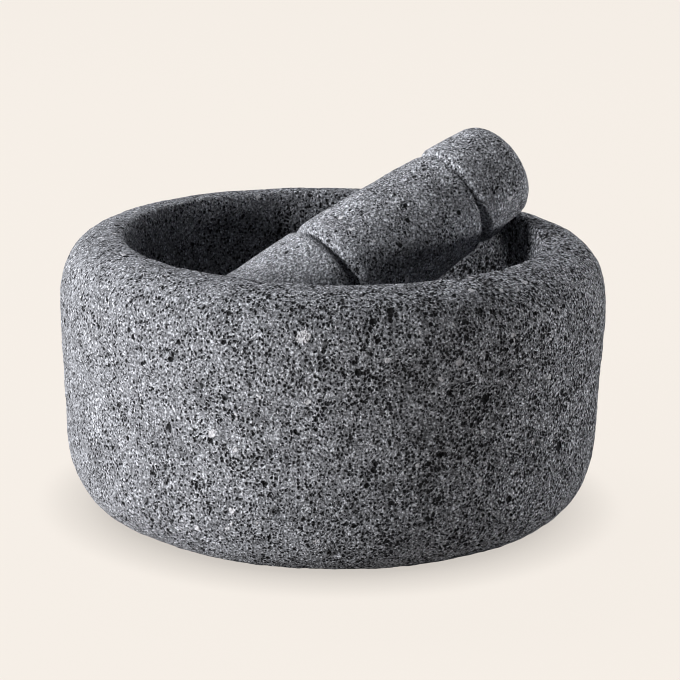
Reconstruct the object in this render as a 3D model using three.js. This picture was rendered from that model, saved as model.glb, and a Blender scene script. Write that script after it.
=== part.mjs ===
// Molcajete: a legless stone mortar with its stone pestle lying in the bowl.
// Millimetres, +Z up. The origin is the centre of the flat base, on the surface the mortar stands on.
// The pestle lies in the XZ plane: its grinding head is low in the bowl at -X, and its knob leans on
// the rim at +X.
import * as THREE from 'three';

// ---- Mortar: driving dimensions ----
const mortarDiameter = 203.2; // across the widest ring
const mortarHeight = 103; // base to crest of the rim
const rimWidth = 24; // widest ring in to the bowl's wall
const wallTaper = 1.9; // how far the wall has drawn in by the top of the base corner
const baseCornerReach = 23.7; // radial size of the rounded corner at the base
const baseCornerRise = 34; // its height
const baseCornerSquareness = 2.3; // 2 is an ellipse, more is squarer
const shoulderDrop = 27; // widest ring up to the crest
const shoulderSquareness = 2.7;
const lipRound = 2; // small round where the rim turns down into the bowl
const bowlDepth = 63.5; // crest of the rim to the bowl's floor
const bowlSquareness = 2.5;

// ---- Pestle: driving dimensions, from the grinding end up ----
const domeHeight = 15; // rounded grinding end
const domeSquareness = 2.2;
const headLength = 55; // grinding end to the middle of the lower notch
const headRadius = 24.6;
const headTopRadius = 24.1;
const waistLength = 60; // middle of the lower notch to the middle of the upper notch
const waistFootRadius = 24.2;
const waistTopRadius = 20.8;
const knobLength = 27.4; // middle of the upper notch to the top of the knob
const knobFootRadius = 20.4;
const knobTopRadius = 19.3;
const knobRound = 9; // rounded edge of the knob's top
const knobRoundSquareness = 2;
const lowerNotchWidth = 9;
const lowerNotchDepth = 4.8;
const upperNotchWidth = 7.4;
const upperNotchDepth = 3.6;
const notchFloorShare = 0.2; // flat floor of a notch, as a share of its own width

// ---- How the pestle lies in the mortar ----
const headSeat = 37; // bowl's axis to the middle of the grinding end, towards -X
const restClearance = 0.3; // gap left where the two stones touch

// ---- Fineness of the solids ----
const mortarSides = 72;
const pestleSides = 40;
const outlineStep = 0.25; // spacing of the stations where the two outlines are compared
const leanSteps = 40; // halvings of the range in which the lean is sought

// A quarter of a superellipse, without its first point. It leaves start along `first`, and turns to
// run along `second`; both are [radius, height] vectors as long as the quarter is in that direction.
function quarterRound(start, first, second, squareness, steps) {
  const points = [];
  for (let i = 1; i <= steps; i += 1) {
    const angle = (i / steps) * (Math.PI / 2);
    const along = i === steps ? 1 : Math.sin(angle) ** (2 / squareness);
    const across = i === steps ? 1 : 1 - Math.cos(angle) ** (2 / squareness);
    points.push([
      start[0] + first[0] * along + second[0] * across,
      start[1] + first[1] * along + second[1] * across,
    ]);
  }
  return points;
}

// The mortar's section as [radius, height], from the middle of the base out, up and into the bowl.
function mortarSection() {
  const widest = mortarDiameter / 2;
  const wallFoot = widest - wallTaper;
  const baseRadius = wallFoot - baseCornerReach;
  const shoulderFoot = [widest, mortarHeight - shoulderDrop];
  const bowlRadius = widest - rimWidth;
  const crest = [bowlRadius + lipRound, mortarHeight];
  const lip = [bowlRadius, mortarHeight - lipRound];
  const base = [baseRadius, 0];
  return [
    [0, 0],
    base,
    ...quarterRound(base, [baseCornerReach, 0], [0, baseCornerRise], baseCornerSquareness, 8),
    shoulderFoot,
    ...quarterRound(shoulderFoot, [0, shoulderDrop], [crest[0] - widest, 0], shoulderSquareness, 10),
    ...quarterRound(crest, [-lipRound, 0], [0, -lipRound], 2, 3),
    ...quarterRound(lip, [0, lipRound - bowlDepth], [-bowlRadius, 0], bowlSquareness, 16),
  ];
}

// The two edges and the floor of a notch whose sides start at the given radii.
function notch(middle, width, depth, radiusBelow, radiusAbove) {
  const floorRadius = Math.min(radiusBelow, radiusAbove) - depth;
  const halfFloor = (width * notchFloorShare) / 2;
  return [
    [radiusBelow, middle - width / 2],
    [floorRadius, middle - halfFloor],
    [floorRadius, middle + halfFloor],
    [radiusAbove, middle + width / 2],
  ];
}

// The pestle's section as [radius, height above its grinding end], from the grinding end up.
function pestleSection() {
  const lowerNotch = headLength;
  const upperNotch = lowerNotch + waistLength;
  const top = upperNotch + knobLength;
  const knobShoulder = [knobTopRadius, top - knobRound];
  return [
    [0, 0],
    ...quarterRound([0, 0], [headRadius, 0], [0, domeHeight], domeSquareness, 9),
    ...notch(lowerNotch, lowerNotchWidth, lowerNotchDepth, headTopRadius, waistFootRadius),
    ...notch(upperNotch, upperNotchWidth, upperNotchDepth, waistTopRadius, knobFootRadius),
    knobShoulder,
    ...quarterRound(knobShoulder, [0, knobRound], [-knobRound, 0], knobRoundSquareness, 5),
    [0, top],
  ];
}

// Height of a line of [x, z] points at x: the lowest or the highest of its crossings.
function heightAt(line, x, pick, missing) {
  let height = missing;
  for (let i = 1; i < line.length; i += 1) {
    const [x0, z0] = line[i - 1];
    const [x1, z1] = line[i];
    if (x0 !== x1 && (x - x0) * (x - x1) <= 0) {
      height = pick(height, z0 + ((z1 - z0) * (x - x0)) / (x1 - x0));
    }
  }
  return height;
}

// A section moved outwards by a gap, along the normal at each of its points.
function grownSection(section, gap) {
  const last = section.length - 1;
  return section.map(([radius, height], i) => {
    const before = section[Math.max(i - 1, 0)];
    const after = section[Math.min(i + 1, last)];
    const outwards = after[0] - before[0];
    const upwards = after[1] - before[1];
    const length = Math.hypot(outwards, upwards);
    return [radius + (gap * upwards) / length, height - (gap * outwards) / length];
  });
}

// The pestle's outline in the XZ plane, both sides, leaned over, with the middle of its grinding end
// over the seat and at the height 0.
function leaningOutline(section, lean) {
  const place = (across, along) => [
    -headSeat + along * Math.cos(lean) + across * Math.sin(lean),
    along * Math.sin(lean) - across * Math.cos(lean),
  ];
  const under = section.map(([radius, height]) => place(radius, height - domeHeight));
  const over = section.map(([radius, height]) => place(-radius, height - domeHeight));
  return [...under, ...over.reverse()];
}

// How high the grinding end must be for the outline to clear the mortar between two stations.
function restHeight(outline, mortarTop, from, to) {
  let rest = -Infinity;
  for (let x = from; x <= to; x += outlineStep) {
    const under = heightAt(outline, x, Math.min, Infinity);
    const ground = heightAt(mortarTop, Math.abs(x), Math.max, -Infinity);
    rest = Math.max(rest, ground - under);
  }
  return rest;
}

// The lean and the height at which the pestle touches the bowl with its head and the rim with its
// shaft at once. The lean is found by halving: too shallow, and the shaft touches first.
function pestleRest(section, mortarTop) {
  const edge = mortarDiameter / 2;
  const grown = grownSection(section, restClearance);
  let shallow = 0;
  let steep = Math.PI / 2;
  let height = 0;
  for (let i = 0; i < leanSteps; i += 1) {
    const lean = (shallow + steep) / 2;
    const outline = leaningOutline(grown, lean);
    const head = restHeight(outline, mortarTop, -edge, 0);
    const shaft = restHeight(outline, mortarTop, 0, edge);
    height = Math.max(head, shaft);
    if (shaft > head) {
      shallow = lean;
    } else {
      steep = lean;
    }
  }
  return { lean: (shallow + steep) / 2, height };
}

// A named solid of revolution about its own Z axis.
function turnedStone(name, section, sides, color, roughness) {
  const points = section.map(([radius, height]) => new THREE.Vector2(radius, height));
  const geometry = new THREE.LatheGeometry(points, sides);
  geometry.rotateX(Math.PI / 2);
  const material = new THREE.MeshStandardMaterial({ color, roughness, metalness: 0 });
  const mesh = new THREE.Mesh(geometry, material);
  mesh.name = name;
  return mesh;
}

const mortar = turnedStone('mortar', mortarSection(), mortarSides, 0x5f6062, 0.93);

const pestle = turnedStone('pestle', pestleSection(), pestleSides, 0x6b6c6e, 0.88);
const rest = pestleRest(pestleSection(), mortarSection());
pestle.rotation.y = Math.PI / 2 - rest.lean;
pestle.position.set(
  -headSeat - domeHeight * Math.cos(rest.lean),
  0,
  rest.height - domeHeight * Math.sin(rest.lean),
);

const molcajete = new THREE.Group();
molcajete.add(mortar, pestle);

export default molcajete;
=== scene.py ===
# Looks of a molcajete: a legless mortar of vesicular basalt, and its pestle lying in the bowl.
# Metres, +Z up. The shapes are laid out in millimetres and scaled by MM.
import math

import bpy
import numpy as np
from mathutils import Matrix, Vector


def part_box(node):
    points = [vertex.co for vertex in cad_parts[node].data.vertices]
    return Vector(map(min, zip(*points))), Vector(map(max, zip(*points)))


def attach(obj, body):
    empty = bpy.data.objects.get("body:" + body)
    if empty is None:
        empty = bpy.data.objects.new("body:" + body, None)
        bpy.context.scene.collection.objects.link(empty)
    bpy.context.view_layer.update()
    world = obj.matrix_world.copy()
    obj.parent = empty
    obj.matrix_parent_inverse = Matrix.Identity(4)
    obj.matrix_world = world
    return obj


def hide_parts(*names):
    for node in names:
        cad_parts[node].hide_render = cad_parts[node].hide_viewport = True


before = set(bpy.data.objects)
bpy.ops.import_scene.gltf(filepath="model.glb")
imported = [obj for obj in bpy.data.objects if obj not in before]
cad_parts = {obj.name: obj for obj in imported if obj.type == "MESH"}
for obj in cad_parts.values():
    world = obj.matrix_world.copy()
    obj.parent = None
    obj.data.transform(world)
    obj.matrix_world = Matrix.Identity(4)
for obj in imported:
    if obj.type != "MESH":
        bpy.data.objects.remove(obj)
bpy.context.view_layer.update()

MM = 0.001

# ---- Mortar, beyond what its CAD box gives ----
RIM_WIDTH = 24  # widest ring in to the bowl's wall
WALL_TAPER = 1.9
BASE_CORNER = (23.7, 34, 2.3)  # reach, rise, squareness
SHOULDER = (27, 2.7)  # drop, squareness
LIP_ROUND = 2
BOWL = (63.5, 2.5)  # depth, squareness
MORTAR_SIDES = 128
MORTAR_GRAIN = 1.3  # edge length of the fine mesh
SAWN_OFF = 1.0  # stock left under the base, and cut off flat
PECKED_FROM = 0.5  # height from which the surface is pecked
MORTAR_PITS = (10, 0.04, 0.2, 1.3)  # spacing, shares of it where a pit's floor and rim are, depth
MORTAR_LUMPS = (("swell", 40, 1.0), ("pecking", 7, 0.5), ("grain", 1.8, 0.45))  # name, size, depth
SHADED_SIDE = (0.85, -0.53, 0)  # the side away from the key light, at the camera's right, where more dark pores and stronger contrast are painted as shade
PORES_LIT_TO_SHADED = (0.82, 1.12)  # amount of pores on the mortar's lit side and on its shaded side; the extra dark pores on the shaded side are painted shade
CONTRAST_LIT_TO_SHADED = (1.25, 1.7)  # contrast of the grain on the same two sides; the stronger contrast on the shaded side is painted shade
# White inclusions: degrees round the bowl's axis, height, radius
WHITE_SPOTS = ((-127.5, 89.7, 1.9), (-178.7, 95.5, 0.9), (-145.6, 52.7, 0.7), (-96.4, 79.7, 0.3),
               (-66.9, 16.7, 0.9))

# ---- Pestle, from the grinding end up ----
DOME = (15, 2.2)  # height, squareness
HEAD_LENGTH = 55
HEAD_RADII = (24.6, 24.1)
WAIST_LENGTH = 60
WAIST_RADII = (24.2, 20.8)
KNOB_LENGTH = 27.4
KNOB_RADII = (21, 19.3)
KNOB_ROUND = 9
LOWER_NOTCH = (3.8, 2.6, 4.2, 0.0)  # depth, lengths of the worn rounds below and above it, and how
UPPER_NOTCH = (3.4, 5, 2.5, 2.3)  # much shallower it is on the shallow side
SHALLOW_SIDE = (-0.8, -0.6)  # towards the pestle's upper front
NOTCH_FLOOR = 1.5  # its narrow flat floor
PESTLE_SIDES = 96
PESTLE_GRAIN = 0.62
PESTLE_PITS = (9, 0.05, 0.17, 0.7)
PESTLE_LUMPS = (("swell", 22, 0.8), ("grinding", 5, 0.3), ("grain", 1.1, 0.28))
# Pale worn bands beside the notches: where along the pestle, and the half widths where they fade and are full
WORN_BANDS = ((HEAD_LENGTH + 4, 5, 1.5), (HEAD_LENGTH + WAIST_LENGTH + 1, 6, 2))
WORN_RISE = 14  # how far above the pestle's axis a worn band is full
DUSTY_HEAD = (HEAD_LENGTH + 2, HEAD_LENGTH - 6)  # where the head's stone dust begins, and where it is full

# ---- Stone ----
# Scattered patches: cell, smallest and largest radius as shares of it, soft edge
SMALL_PORES = (1.2, 0.2, 0.52, 0.08)
MEDIUM_PORES = (2.6, -0.4, 0.34, 0.08)
LARGE_PORES = (6.5, -0.5, 0.24, 0.04)
PALE_FLECKS = (1.3, -0.12, 0.42, 0.1)
WHITE_SPECKS = (6, -0.4, 0.2, 0.03)
PORE_DEPTHS = (1.0, 1.3, 2.0)  # small, medium, large
SMALL_PORE_SHADE = 0.94  # how dark the small pores are beside the larger ones
CROWDING = (0.7, 1.1)  # least and most crowded patches of pores
TONES = (0.6, 4.0, 0.8, 0.8)  # weights of grain, dust, clumps and mottling, in halvings of the colour
WORN_TONE = 0.2  # how much paler worn stone is
PORE_GREY = 0.012
# Painted shade: the dark grey that the sunk pits are painted towards, by their depth
PIT_SHADE_GREY = 0.025
FLECK_GREY = 0.7
WHITE_GREY = (0.62, 0.03)  # level, warmth

# ---- Camera, level with its own aim point ----
CAMERA_AROUND = -31.9  # degrees about Z from looking along +Y
CAMERA_ABOVE = 14.95
CAMERA_ROLL = 1.0
CAMERA_DISTANCE = 0.985
CAMERA_AIM = (2.85, 62.1)  # to the camera's right of the bowl's axis, and up, in mm
CAMERA_LENS = 138.6

# ---- Studio ----
BACKDROP = (0.913, 0.855, 0.791, 1)  # pale cream
WORLD_GLOW = 0.01
FLOOR_FOR_LIGHT = (0.55, 0.52, 0.49, 1)  # what the floor throws back at the stones
FLOOR_FOR_CAMERA = (0.02, 0.019, 0.018, 1)  # what the lamps add to the floor's own glow
CONTACT_REACH = 0.025  # how far the painted soft shadow reaches out from under the stone
CONTACT_OPENNESS = (0.1, 0.85)  # how open the floor is where that painted shadow is full, and where it ends
FLOOR_GLOW = (0.66, 0.985)  # of the floor in the full painted shadow, and of the open floor
LAMP_AIM = (0, 0, 0.06)


# ---- Modelling ----


def deselect_all():
    """Leaves nothing selected, the CAD nodes included."""
    bpy.ops.object.select_all(action="DESELECT")


def apply_modifier(piece, kind, **settings):
    """Adds a modifier with these settings and applies it at once."""
    modifier = piece.modifiers.new(kind.lower(), kind)
    for setting, value in settings.items():
        setattr(modifier, setting, value)
    bpy.ops.object.modifier_apply(modifier=modifier.name)


def quarter_round(start, first, second, squareness, steps):
    """A quarter of a superellipse from start, along first and then along second, without start itself."""
    points = []
    for i in range(1, steps + 1):
        angle = math.pi / 2 * i / steps
        along = math.sin(angle) ** (2 / squareness)
        across = 1 - max(math.cos(angle), 0) ** (2 / squareness)
        points.append(tuple(s + f * along + g * across for s, f, g in zip(start, first, second)))
    return points


def mortar_section(widest, height):
    """(radius, height) of the mortar's rings, from the base out, up the wall and down into the bowl."""
    reach, rise, base_squareness = BASE_CORNER
    drop, shoulder_squareness = SHOULDER
    depth, bowl_squareness = BOWL
    base = (widest - WALL_TAPER - reach, 0)
    shoulder = (widest, height - drop)
    bowl_radius = widest - RIM_WIDTH
    crest = (bowl_radius + LIP_ROUND, height)
    lip = (bowl_radius, height - LIP_ROUND)
    return [
        (base[0], -SAWN_OFF),
        base,
        *quarter_round(base, (reach, 0), (0, rise), base_squareness, 12),
        shoulder,
        *quarter_round(shoulder, (0, drop), (crest[0] - widest, 0), shoulder_squareness, 16),
        *quarter_round(crest, (-LIP_ROUND, 0), (0, -LIP_ROUND), 2, 5),
        *quarter_round(lip, (0, LIP_ROUND - depth), (1 - bowl_radius, 0), bowl_squareness, 22),
    ]


def notch(middle, size, radius_below, radius_above):
    """A notch cut round the pestle: a worn round, a narrow floor off to the shallow side, and a second
    worn round."""
    depth, round_below, round_above, shift = size
    floor = min(radius_below, radius_above) - depth
    foot = (radius_below, middle - NOTCH_FLOOR / 2 - round_below, 0)
    start = (floor, middle + NOTCH_FLOOR / 2, shift)
    return [
        foot,
        *quarter_round(foot, (0, round_below, 0), (floor - radius_below, 0, shift), 2, 7),
        start,
        *quarter_round(start, (radius_above - floor, 0, -shift), (0, round_above, 0), 2, 7),
    ]


def pestle_section():
    """(radius, height) of the pestle's rings, and how far off its axis, from the grinding end up."""
    dome_height, dome_squareness = DOME
    lower = HEAD_LENGTH
    upper = lower + WAIST_LENGTH
    top = upper + KNOB_LENGTH
    shoulder = (KNOB_RADII[1], top - KNOB_ROUND)
    return [
        (1, 0),
        *quarter_round((1, 0), (HEAD_RADII[0] - 1, 0), (0, dome_height), dome_squareness, 14),
        *notch(lower, LOWER_NOTCH, HEAD_RADII[1], WAIST_RADII[0]),
        *notch(upper, UPPER_NOTCH, WAIST_RADII[1], KNOB_RADII[0]),
        shoulder,
        *quarter_round(shoulder, (0, KNOB_ROUND), (-KNOB_ROUND, 0), 2, 9),
    ]


def turned(name, section, sides):
    """A stone built up in rings: a disc is extruded, shifted and scaled from each ring to the next."""
    deselect_all()
    radius, height = section[0]
    shift = 0
    bpy.ops.mesh.primitive_circle_add(
        vertices=sides, radius=radius * MM, fill_type="NGON", location=(0, 0, height * MM)
    )
    piece = bpy.context.object
    piece.name = name
    bpy.ops.object.transform_apply(location=True)
    bpy.ops.object.mode_set(mode="EDIT")
    bpy.ops.mesh.select_all(action="SELECT")
    for next_radius, next_height, *offset in section[1:]:
        next_shift = sum(offset)
        drift = [(next_shift - shift) * MM * side for side in SHALLOW_SIDE]
        move = (*drift, (next_height - height) * MM)
        bpy.ops.mesh.extrude_region_move(TRANSFORM_OT_translate={"value": move})
        scale = next_radius / radius
        middle = [next_shift * MM * side for side in SHALLOW_SIDE]
        bpy.ops.transform.resize(value=(scale, scale, 1), center_override=(*middle, 0))
        radius, height, shift = next_radius, next_height, next_shift
    bpy.ops.mesh.select_all(action="SELECT")
    bpy.ops.mesh.remove_doubles(threshold=1e-6)
    bpy.ops.mesh.normals_make_consistent(inside=False)
    bpy.ops.object.mode_set(mode="OBJECT")
    return piece


def saw_flat(piece, height):
    """Cuts everything below a height off a stone, and leaves a flat face there."""
    bpy.ops.object.mode_set(mode="EDIT")
    bpy.ops.mesh.select_all(action="SELECT")
    bpy.ops.mesh.bisect(
        plane_co=(0, 0, height), plane_no=(0, 0, 1), use_fill=True, clear_inner=True, threshold=1e-6
    )
    bpy.ops.object.mode_set(mode="OBJECT")


def roughen(piece, texture, depth, middle=0.5, group=""):
    """Pushes the surface in and out by a texture, over a depth in all."""
    apply_modifier(
        piece,
        "DISPLACE",
        texture=texture,
        texture_coords="LOCAL",
        strength=depth * MM,
        mid_level=middle,
        vertex_group=group,
    )


def raise_lumps(piece, lumps, group=""):
    """Makes the surface lumpy at each of these sizes."""
    for name, size, depth in lumps:
        texture = bpy.data.textures.new(piece.name + "_" + name, "CLOUDS")
        texture.noise_scale = size * MM
        texture.noise_depth = 1
        roughen(piece, texture, depth, group=group)


def points_of(piece):
    """The stone's points as an array."""
    return np.array([v.co for v in piece.data.vertices])


def sink_pits(piece, pits, group=""):
    """Sinks scattered pits, and keeps each point's share of their depth as the attribute pits, from which the
    stone's colour paints shade into the pits.
    """
    spacing, floor, rim, depth = pits
    texture = bpy.data.textures.new(piece.name + "_pits", "VORONOI")
    texture.noise_scale = spacing * MM
    texture.use_color_ramp = True
    low, high = texture.color_ramp.elements
    low.position, low.color = floor, (0, 0, 0, 1)
    high.position, high.color = rim, (1, 1, 1, 1)
    before = points_of(piece)
    roughen(piece, texture, depth, middle=1.0, group=group)
    sunk = np.linalg.norm(points_of(piece) - before, axis=1) / (depth * MM)
    share = piece.data.attributes.new("pits", "FLOAT", "POINT")
    share.data.foreach_set("value", sunk.astype(np.float32))


def group_above(piece, name, height):
    """A vertex group of all that is higher than a height, so that a flat foot stays flat."""
    group = piece.vertex_groups.new(name=name)
    above = [v.index for v in piece.data.vertices if v.co.z > height]
    group.add(above, 1.0, "REPLACE")
    return name


def make_mortar():
    """The mortar: turned, meshed finely, sawn flat underneath and pecked rough."""
    low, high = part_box("mortar")
    widest = (high.x - low.x) / 2 / MM
    piece = turned("mortar_stone", mortar_section(widest, high.z / MM), MORTAR_SIDES)
    apply_modifier(piece, "REMESH", mode="VOXEL", voxel_size=MORTAR_GRAIN * MM, use_smooth_shade=True)
    saw_flat(piece, low.z)
    pecked = group_above(piece, "pecked", low.z + PECKED_FROM * MM)
    sink_pits(piece, MORTAR_PITS, pecked)
    raise_lumps(piece, MORTAR_LUMPS, pecked)
    bpy.ops.object.shade_smooth()
    return piece


def pestle_place():
    """The middle of the grinding end and the lean of the CAD pestle, from the run of its points."""
    points = np.array([v.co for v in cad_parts["pestle"].data.vertices])
    points = np.unique(points.round(7), axis=0)
    middle = points.mean(0)
    spread = np.linalg.eigh(np.cov((points - middle).T))[1]
    axis = spread[:, 2] * np.sign(spread[2, 2])
    tip = middle + axis * ((points - middle) @ axis).min()
    return Vector(tip), math.atan2(axis[2], axis[0])


def make_pestle():
    """The pestle: turned upright, meshed finely, ground fairly smooth, and laid where the CAD one lies."""
    piece = turned("pestle_stone", pestle_section(), PESTLE_SIDES)
    apply_modifier(piece, "REMESH", mode="VOXEL", voxel_size=PESTLE_GRAIN * MM, use_smooth_shade=True)
    sink_pits(piece, PESTLE_PITS)
    raise_lumps(piece, PESTLE_LUMPS)
    bpy.ops.object.shade_smooth()
    tip, lean = pestle_place()
    piece.rotation_euler = (0, math.pi / 2 - lean, 0)
    piece.location = tip
    bpy.ops.object.transform_apply(location=True, rotation=True)
    return piece


# ---- Materials ----


def add_node(tree, kind, inputs=None, **settings):
    """A shader node with its settings, and its inputs linked or set by name or number."""
    node = tree.nodes.new(kind)
    for setting, value in settings.items():
        setattr(node, setting, value)
    for key, value in (inputs or {}).items():
        if isinstance(value, bpy.types.NodeSocket):
            tree.links.new(value, node.inputs[key])
        else:
            node.inputs[key].default_value = value
    return node


def maths(tree, operation, first, second=0.0, third=0.0):
    """One Math node's value."""
    inputs = {0: first, 1: second, 2: third}
    return add_node(tree, "ShaderNodeMath", inputs, operation=operation).outputs[0]


def dot(tree, first, second):
    """How far one vector runs along another."""
    node = add_node(tree, "ShaderNodeVectorMath", {0: first, 1: second}, operation="DOT_PRODUCT")
    return node.outputs["Value"]


def ramp(tree, value, low, high, to_low=0.0, to_high=1.0, smooth=False):
    """A value mapped from one range to another, and kept inside it."""
    inputs = {"Value": value, "From Min": low, "From Max": high, "To Min": to_low, "To Max": to_high}
    kind = "SMOOTHSTEP" if smooth else "LINEAR"
    return add_node(tree, "ShaderNodeMapRange", inputs, interpolation_type=kind).outputs["Result"]


def noise(tree, vector, size, detail=2.0, roughness=0.5):
    """Noise with lumps of about this size in mm: its value and its colour."""
    inputs = {"Vector": vector, "Scale": 1 / size, "Detail": detail, "Roughness": roughness}
    node = add_node(tree, "ShaderNodeTexNoise", inputs)
    return node.outputs["Fac"], node.outputs["Color"]


def blobs(tree, vector, size, smallest, largest, edge, gain):
    """Scattered round patches, one to a cell of this size in mm. Their radii run from smallest to largest,
    as shares of the cell, times gain. A radius below 0 leaves the cell empty. Gives the mask, and a
    bowl that is 1 where a patch is deepest."""
    cells = add_node(tree, "ShaderNodeTexVoronoi", {"Vector": vector, "Scale": 1 / size})
    chance = add_node(tree, "ShaderNodeSeparateColor", {"Color": cells.outputs["Color"]}).outputs[0]
    radius = maths(tree, "MULTIPLY", ramp(tree, chance, 0, 1, smallest, largest), gain)
    inside = maths(tree, "SUBTRACT", radius, cells.outputs["Distance"])
    return ramp(tree, inside, -edge / 2, edge / 2, smooth=True), ramp(tree, inside, -edge, 0.4)


def mix_colors(tree, share, first, second):
    """Two colours mixed by a share."""
    node = add_node(tree, "ShaderNodeMix", {"Factor": share}, data_type="RGBA")
    for socket, value in ((node.inputs[6], first), (node.inputs[7], second)):
        if isinstance(value, bpy.types.NodeSocket):
            tree.links.new(value, socket)
        else:
            socket.default_value = value
    return node.outputs[2]


def grey(level, warmth=0.0):
    """A linear grey, a little cool unless warmed."""
    return (level * (0.972 + warmth), level, level * (1.09 - warmth), 1.0)


def vesicular_stone_group():
    """Node group: basalt full of small dark pores, with pale grains and a few white inclusions.
    Vector is in mm. Pits, Worn and White Spots are masks; Pits darkens the colour of the sunk pits as painted
    shade. Height is in mm."""
    group = bpy.data.node_groups.new("vesicular_stone", "ShaderNodeTree")
    face = group.interface
    for name, kind, value in (
        ("Vector", "NodeSocketVector", None),
        ("Matrix Color", "NodeSocketColor", grey(0.16)),
        ("Pore Size", "NodeSocketFloat", 1.2),
        ("Pore Amount", "NodeSocketFloat", 1.0),
        ("Relief", "NodeSocketFloat", 1.0),
        ("Contrast", "NodeSocketFloat", 1.45),
        ("Worn", "NodeSocketFloat", 0.0),
        ("Pits", "NodeSocketFloat", 0.0),
        ("White Spots", "NodeSocketFloat", 0.0),
    ):
        socket = face.new_socket(name, in_out="INPUT", socket_type=kind)
        if value is not None:
            socket.default_value = value
    face.new_socket("Color", in_out="OUTPUT", socket_type="NodeSocketColor")
    face.new_socket("Roughness", in_out="OUTPUT", socket_type="NodeSocketFloat")
    face.new_socket("Height", in_out="OUTPUT", socket_type="NodeSocketFloat")
    given = group.nodes.new("NodeGroupInput").outputs
    vector = given["Vector"]

    bend = add_node(group, "ShaderNodeVectorMath", {0: noise(group, vector, 1.6)[1], 1: (0.5, 0.5, 0.5)},
                    operation="SUBTRACT").outputs[0]
    bent = add_node(group, "ShaderNodeVectorMath", {0: bend, 1: (1.5, 1.5, 1.5), 2: vector},
                    operation="MULTIPLY_ADD").outputs[0]
    sized = add_node(group, "ShaderNodeVectorMath", {0: bent}, operation="SCALE")
    group.links.new(maths(group, "DIVIDE", 1.2, given["Pore Size"]), sized.inputs["Scale"])
    sized = sized.outputs[0]

    crowding = ramp(group, noise(group, vector, 8)[0], 0.35, 0.62, *CROWDING)
    gain = maths(group, "MULTIPLY", crowding, given["Pore Amount"])
    gain = maths(group, "MULTIPLY", gain, ramp(group, given["Worn"], 0, 1, 1, 0.6))
    small, small_bowl = blobs(group, sized, *SMALL_PORES, gain)
    medium, medium_bowl = blobs(group, sized, *MEDIUM_PORES, gain)
    large, large_bowl = blobs(group, sized, *LARGE_PORES, gain)

    grains = add_node(group, "ShaderNodeTexVoronoi", {"Vector": bent, "Scale": 1 / 0.8})
    tint = add_node(group, "ShaderNodeSeparateColor", {"Color": grains.outputs["Color"]}).outputs[0]
    dust = noise(group, vector, 0.8, 1)[0]
    clump = noise(group, vector, 3.5)[0]
    mottle = noise(group, vector, 13)[0]
    tone = maths(group, "MULTIPLY_ADD", given["Worn"], WORN_TONE, -sum(TONES) / 2)
    for part, weight in zip((tint, dust, clump, mottle), TONES):
        tone = maths(group, "MULTIPLY_ADD", part, weight, tone)
    shade = maths(group, "POWER", 2.0, maths(group, "MULTIPLY", tone, given["Contrast"]))
    flecks, fleck_heap = blobs(group, bent, *PALE_FLECKS, 1.0)
    crooked = add_node(group, "ShaderNodeVectorMath", {0: bend, 1: (3, 3, 3), 2: vector},
                       operation="MULTIPLY_ADD").outputs[0]
    specks = blobs(group, crooked, *WHITE_SPECKS, 1.0)[0]
    inclusions = maths(group, "MAXIMUM", specks, given["White Spots"])

    stone = add_node(group, "ShaderNodeVectorMath", {0: given["Matrix Color"]}, operation="SCALE")
    group.links.new(shade, stone.inputs["Scale"])
    color = mix_colors(group, maths(group, "MULTIPLY", flecks, 0.8), stone.outputs[0], grey(FLECK_GREY))
    # Painted shade: the sunk pits are darkened by their depth, with a ragged edge
    raggedness = maths(group, "SUBTRACT", noise(group, vector, 1.6)[0], 0.5)
    painted_pit_shade = maths(group, "MULTIPLY_ADD", raggedness, 2.2, given["Pits"])
    color = mix_colors(group, ramp(group, painted_pit_shade, 0.5, 0.8), color, grey(PIT_SHADE_GREY))
    pores = maths(group, "MAXIMUM", medium, large)
    pores = maths(group, "MAXIMUM", maths(group, "MULTIPLY", small, SMALL_PORE_SHADE), pores)
    color = mix_colors(group, maths(group, "MULTIPLY", pores, 0.97), color, grey(PORE_GREY))
    color = mix_colors(group, maths(group, "MULTIPLY", inclusions, 0.85), color, grey(*WHITE_GREY))

    height = maths(group, "MULTIPLY_ADD", fleck_heap, 0.35, maths(group, "MULTIPLY", tone, 0.1))
    for bowl, depth in zip((small_bowl, medium_bowl, large_bowl), PORE_DEPTHS):
        height = maths(group, "MULTIPLY_ADD", bowl, -depth, height)
    height = maths(group, "MULTIPLY", height, given["Relief"])
    roughness = ramp(group, inclusions, 0, 1, 0.92, 0.6)

    result = group.nodes.new("NodeGroupOutput").inputs
    group.links.new(color, result["Color"])
    group.links.new(roughness, result["Roughness"])
    group.links.new(height, result["Height"])
    return group


def white_spots(tree, vector):
    """Mask of the mortar's largest white inclusions, at their own places; vector is in mm."""
    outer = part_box("mortar")[1].x / MM
    jitter = add_node(tree, "ShaderNodeVectorMath", {0: noise(tree, vector, 1.3)[1], 1: (3, 3, 3), 2: vector},
                      operation="MULTIPLY_ADD").outputs[0]
    mask = 0.0
    for around, height, radius in WHITE_SPOTS:
        turn = math.radians(around)
        middle = (outer * math.cos(turn) + 1.5, outer * math.sin(turn) + 1.5, height + 1.5)
        apart = add_node(tree, "ShaderNodeVectorMath", {0: jitter, 1: middle}, operation="DISTANCE")
        spot = ramp(tree, apart.outputs["Value"], radius + 0.9, radius + 1.2, 1, 0)
        mask = maths(tree, "MAXIMUM", spot, mask)
    return mask


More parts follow.
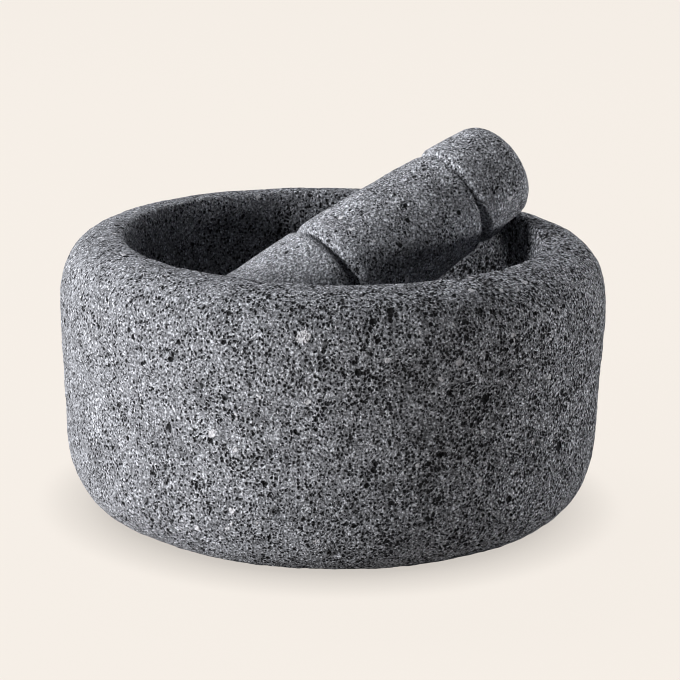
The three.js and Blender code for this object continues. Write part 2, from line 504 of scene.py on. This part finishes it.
def worn_edges(tree, vector):
    """Mask of the pale dusty edges beside the pestle's notches and of its dusty head; vector is in mm."""
    tip, lean = pestle_place()
    along = (math.cos(lean), 0, math.sin(lean))
    over = (-math.sin(lean), 0, math.cos(lean))
    from_tip = add_node(tree, "ShaderNodeVectorMath", {0: vector, 1: tip / MM}, operation="SUBTRACT")
    length = dot(tree, from_tip.outputs[0], along)
    rise = dot(tree, from_tip.outputs[0], over)
    near = 0.0
    for middle, faded, full in WORN_BANDS:
        apart = maths(tree, "ABSOLUTE", maths(tree, "SUBTRACT", length, middle))
        near = maths(tree, "MAXIMUM", ramp(tree, apart, faded, full), near)
    upper = ramp(tree, rise, 0, WORN_RISE)
    patchy = ramp(tree, noise(tree, vector, 5, 3)[0], 0.35, 0.6, 0, 0.5)
    edges = maths(tree, "MULTIPLY", maths(tree, "MULTIPLY", near, upper), patchy)
    return maths(tree, "MAXIMUM", edges, ramp(tree, length, *DUSTY_HEAD))


def from_lit_to_shaded_side(lit_value, shaded_value):
    """A value that changes across the mortar, from its lit side to its shaded side, for painted shade: more
    dark pores and stronger contrast on the shaded side.
    """
    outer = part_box("mortar")[1].x / MM

    def value(tree, vector):
        return ramp(tree, dot(tree, vector, SHADED_SIDE), -0.8 * outer, 0.5 * outer, lit_value, shaded_value)

    return value


def stone_material(name, group, values, masks):
    """Rough dry stone from the shared group, with this stone's own values and masks."""
    material = bpy.data.materials.new(name)
    material.use_nodes = True
    tree = material.node_tree
    shader = tree.nodes["Principled BSDF"]
    place = add_node(tree, "ShaderNodeTexCoord").outputs["Object"]
    vector = add_node(tree, "ShaderNodeMapping", {"Vector": place, "Scale": (1 / MM,) * 3}).outputs[0]
    stone = add_node(tree, "ShaderNodeGroup", node_tree=group)
    tree.links.new(vector, stone.inputs["Vector"])
    for given, value in values.items():
        stone.inputs[given].default_value = value
    # The pits' depth, used for painted shade in the sunk pits
    pits = add_node(tree, "ShaderNodeAttribute", attribute_name="pits").outputs["Fac"]
    tree.links.new(pits, stone.inputs["Pits"])
    for mask, make_mask in masks.items():
        tree.links.new(make_mask(tree, vector), stone.inputs[mask])
    tree.links.new(stone.outputs["Color"], shader.inputs["Base Color"])
    tree.links.new(stone.outputs["Roughness"], shader.inputs["Roughness"])
    bump = add_node(tree, "ShaderNodeBump", {"Height": stone.outputs["Height"], "Distance": MM})
    tree.links.new(bump.outputs[0], shader.inputs["Normal"])
    shader.inputs["Specular IOR Level"].default_value = 0.05
    return material


# ---- Stage: floor, light and camera ----


def make_floor():
    """A wide pale floor that glows a little towards the camera, so that the lamps' shadows on it stay faint;
    a soft shadow round the stone is painted into the glow by ambient occlusion.
    """
    deselect_all()
    bpy.ops.mesh.primitive_plane_add(size=16, location=(0, 0, 0))
    floor = bpy.context.object
    floor.name = "floor"
    material = bpy.data.materials.new("pale_floor")
    material.use_nodes = True
    tree = material.node_tree
    shader = tree.nodes["Principled BSDF"]
    shader.inputs["Roughness"].default_value = 1.0
    shader.inputs["Specular IOR Level"].default_value = 0.0
    shader.inputs["Emission Color"].default_value = BACKDROP
    seen = add_node(tree, "ShaderNodeLightPath").outputs["Is Camera Ray"]
    color = mix_colors(tree, seen, FLOOR_FOR_LIGHT, FLOOR_FOR_CAMERA)
    tree.links.new(color, shader.inputs["Base Color"])
    # Painted shadow: the floor's glow is dimmed where ambient occlusion finds the stone near
    near = add_node(tree, "ShaderNodeAmbientOcclusion", {"Distance": CONTACT_REACH}).outputs["AO"]
    glow = ramp(tree, near, *CONTACT_OPENNESS, *FLOOR_GLOW)
    tree.links.new(maths(tree, "MULTIPLY", seen, glow), shader.inputs["Emission Strength"])
    floor.data.materials.append(material)


def area_light(name, around, above, distance, size, power):
    """A soft square lamp aimed at the bowl. It stands at angles from the camera's side of the object, at a
    distance and of a size in metres, with a power in watts."""
    turn = math.radians(CAMERA_AROUND + around)
    rise = math.radians(above)
    back = Vector((math.sin(turn) * math.cos(rise), -math.cos(turn) * math.cos(rise), math.sin(rise)))
    lamp = bpy.data.lights.new(name, "AREA")
    lamp.size = size
    lamp.energy = power
    holder = bpy.data.objects.new(name, lamp)
    bpy.context.scene.collection.objects.link(holder)
    holder.location = Vector(LAMP_AIM) + back * distance
    holder.rotation_euler = back.to_track_quat("Z", "Y").to_euler()


def make_lights():
    """A key and a lower light from the left, two soft lights from above and two weak ones at the right."""
    area_light("key", -62, 10, 1.6, 0.5, 36)
    area_light("low_side", -84, 8, 1.6, 0.4, 8.5)
    area_light("top", -135, 52, 1.6, 0.5, 15)
    area_light("back", 180, 55, 1.6, 0.5, 7)
    area_light("edge", 90, 3.5, 1.7, 0.22, 12)
    area_light("rear_edge", 120, 3.5, 1.7, 0.22, 7)
    world = bpy.data.worlds.new("studio")
    world.use_nodes = True
    background = world.node_tree.nodes["Background"]
    background.inputs["Color"].default_value = BACKDROP
    background.inputs["Strength"].default_value = WORLD_GLOW
    bpy.context.scene.world = world


def make_camera():
    """The camera, looking a little down at the mortar."""
    around, above = math.radians(CAMERA_AROUND), math.radians(CAMERA_ABOVE)
    right = Vector((math.cos(around), math.sin(around), 0))
    back = Vector((math.sin(around) * math.cos(above), -math.cos(around) * math.cos(above), math.sin(above)))
    aim = right * CAMERA_AIM[0] * MM + Vector((0, 0, CAMERA_AIM[1] * MM))
    lens = bpy.data.cameras.new("camera")
    lens.lens = CAMERA_LENS
    camera = bpy.data.objects.new("camera", lens)
    bpy.context.scene.collection.objects.link(camera)
    turn = Matrix.Rotation(around, 4, "Z") @ Matrix.Rotation(math.pi / 2 - above, 4, "X")
    level = Matrix.Rotation(math.radians(CAMERA_ROLL), 4, "Z")
    camera.matrix_world = Matrix.Translation(aim + back * CAMERA_DISTANCE) @ turn @ level
    bpy.context.scene.camera = camera


def finish_piece(piece, node, material):
    """Gives a piece its material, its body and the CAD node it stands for."""
    piece.data.materials.clear()
    piece.data.materials.append(material)
    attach(piece, node)
    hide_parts(node)


make_camera()
make_lights()
make_floor()
bpy.context.scene.view_settings.view_transform = "Standard"
bpy.context.scene.cycles.filter_width = 1.0

stone = vesicular_stone_group()
# Painted shade: the mortar gets more dark pores and stronger grain contrast towards its side away from the
# key light
mortar_masks = {
    "White Spots": white_spots,
    "Pore Amount": from_lit_to_shaded_side(*PORES_LIT_TO_SHADED),
    "Contrast": from_lit_to_shaded_side(*CONTRAST_LIT_TO_SHADED),
}
mortar_values = {"Matrix Color": grey(0.205), "Pore Size": 1.2, "Relief": 1.6}
mortar_basalt = stone_material("mortar_basalt", stone, mortar_values, mortar_masks)
finish_piece(make_mortar(), "mortar", mortar_basalt)

pestle_values = {"Matrix Color": grey(0.23), "Pore Size": 0.95, "Pore Amount": 0.85, "Relief": 1.2}
pestle_basalt = stone_material("pestle_basalt", stone, pestle_values, {"Worn": worn_edges})
finish_piece(make_pestle(), "pestle", pestle_basalt)
